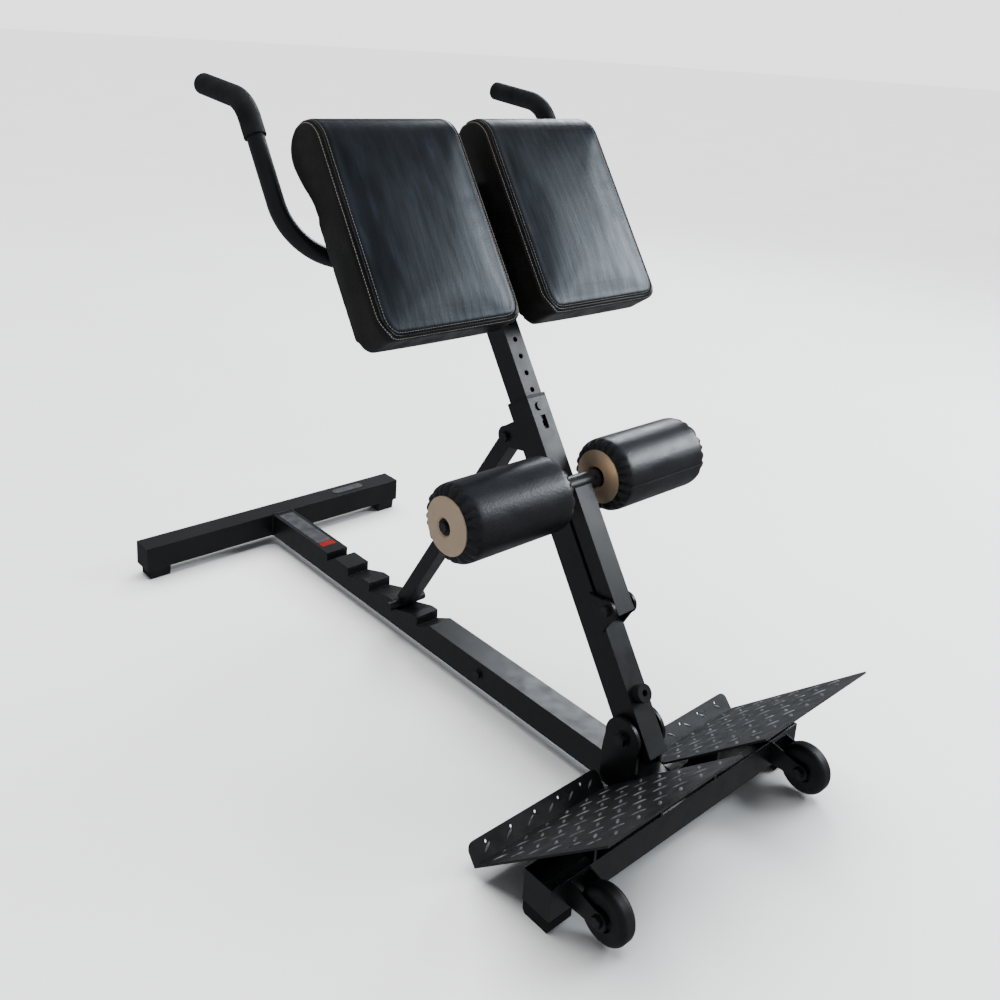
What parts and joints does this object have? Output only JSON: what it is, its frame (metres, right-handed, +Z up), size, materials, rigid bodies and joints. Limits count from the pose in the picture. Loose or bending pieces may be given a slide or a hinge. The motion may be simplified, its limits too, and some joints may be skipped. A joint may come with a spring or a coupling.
{
  "type": "roman chair",
  "caption": "Roman chair: notched base beam, tilting post with telescoping thigh-pad carriage and side handles, folding ankle-roller arm, sloped foot plates and transport wheels.",
  "frame": {"origin": "on the floor, midway along the length and the width", "axes": "+Y runs along the main beam to the rear crossbar, +X to the side across the foot plates, +Z up; the foot plates and wheels are at -Y"},
  "size_m": [0.667, 1.2961, 1.0421],
  "materials": {
    "frame_paint": "satin black powder coat",
    "tread_paint": "black coated tread plate with worn bright studs",
    "fastener": "zinc plated",
    "plastic": "moulded black plastic",
    "rubber": "moulded black rubber and dense grip foam",
    "tyre": "solid black tyre",
    "vinyl": "black leatherette over foam",
    "disc": "satin champagne metal",
    "board": "bare plywood"
  },
  "bodies": {
    "base": {"rear_crossbar": "frame_paint", "crossbar_end_caps": "plastic", "rear_feet": "rubber", "id_plate": "fastener", "main_beam": "frame_paint", "ladder_insert": "frame_paint", "beam_bolt": "fastener", "front_channel": "frame_paint", "front_feet": "rubber", "foot_plate_left": "tread_paint", "foot_plate_right": "tread_paint", "plate_ribs": "frame_paint", "pivot_ear_left": "frame_paint", "pivot_ear_right": "frame_paint", "pivot_bolt": "fastener", "pivot_nut": "fastener", "wheel_bracket_left": "frame_paint", "wheel_bracket_right": "frame_paint", "wheel_axles": "fastener"},
    "wheel_left": {"tyre_left": "tyre", "hub_left": "plastic"},
    "wheel_right": {"tyre_right": "tyre", "hub_right": "plastic"},
    "post": {"post_sleeve": "frame_paint", "pivot_bush": "frame_paint", "sleeve_bushing": "plastic", "strut_ears": "frame_paint", "strut_bolt": "fastener", "ankle_clevis": "frame_paint", "ankle_bolt": "fastener", "arm_bumper": "rubber"},
    "height_pin": {"height_pin": "fastener"},
    "strut": {"strut_tube": "frame_paint", "strut_bush": "frame_paint", "strut_rod": "frame_paint"},
    "ankle_arm": {"ankle_arm": "frame_paint", "ankle_bush": "frame_paint", "roller_bar": "frame_paint", "bar_sleeve": "frame_paint", "roller_end_bolts": "fastener"},
    "roller_left": {"roller_left_pad": "vinyl", "roller_left_core": "plastic", "roller_left_discs": "disc"},
    "roller_right": {"roller_right_pad": "vinyl", "roller_right_core": "plastic", "roller_right_discs": "disc"},
    "carriage": {"inner_tube": "frame_paint", "inner_tube_plug": "plastic", "lower_pad_bracket": "frame_paint", "upper_pad_bracket": "frame_paint", "pad_board_left": "board", "pad_board_right": "board", "pad_screws": "fastener", "pad_left": "vinyl", "pad_right": "vinyl", "handle_saddle": "frame_paint", "handle_left": "frame_paint", "handle_right": "frame_paint", "grip_left": "rubber", "grip_right": "rubber"}
  },
  "joints": [
    {"name": "post_tilt", "type": "hinge", "parent": "base", "child": "post", "pos_m": [0, -0.445, 0.119], "axis": [1, 0, 0], "range_deg": [0, 25]},
    {"name": "strut_swing", "type": "hinge", "parent": "post", "child": "strut", "pos_m": [0, -0.13428, 0.50185], "axis": [1, 0, 0], "range_deg": [-30, 0]},
    {"name": "pad_height", "type": "slide", "parent": "post", "child": "carriage", "axis": [0, 0.5534, 0.8329], "range_m": [-0.1425, 0.0855]},
    {"name": "height_pin_pull", "type": "slide", "parent": "post", "child": "height_pin", "axis": [0, -0.8329, 0.5534], "range_m": [0, 0.012]},
    {"name": "ankle_arm_fold", "type": "hinge", "parent": "post", "child": "ankle_arm", "pos_m": [0, -0.38525, 0.30481], "axis": [1, 0, 0], "range_deg": [0, 105]},
    {"name": "roller_left_spin", "type": "hinge", "parent": "ankle_arm", "child": "roller_left", "pos_m": [-0.154, -0.27789, 0.4664], "axis": [1, 0, 0], "continuous": true},
    {"name": "roller_right_spin", "type": "hinge", "parent": "ankle_arm", "child": "roller_right", "pos_m": [0.154, -0.27789, 0.4664], "axis": [1, 0, 0], "continuous": true},
    {"name": "wheel_left_spin", "type": "hinge", "parent": "base", "child": "wheel_left", "pos_m": [-0.231, -0.608, 0.046], "axis": [1, 0, 0], "continuous": true},
    {"name": "wheel_right_spin", "type": "hinge", "parent": "base", "child": "wheel_right", "pos_m": [0.231, -0.608, 0.046], "axis": [1, 0, 0], "continuous": true}
  ],
  "couplings": [
    {"joint": "strut_swing", "follows": "post_tilt", "ratio": -1.2}
  ]
}
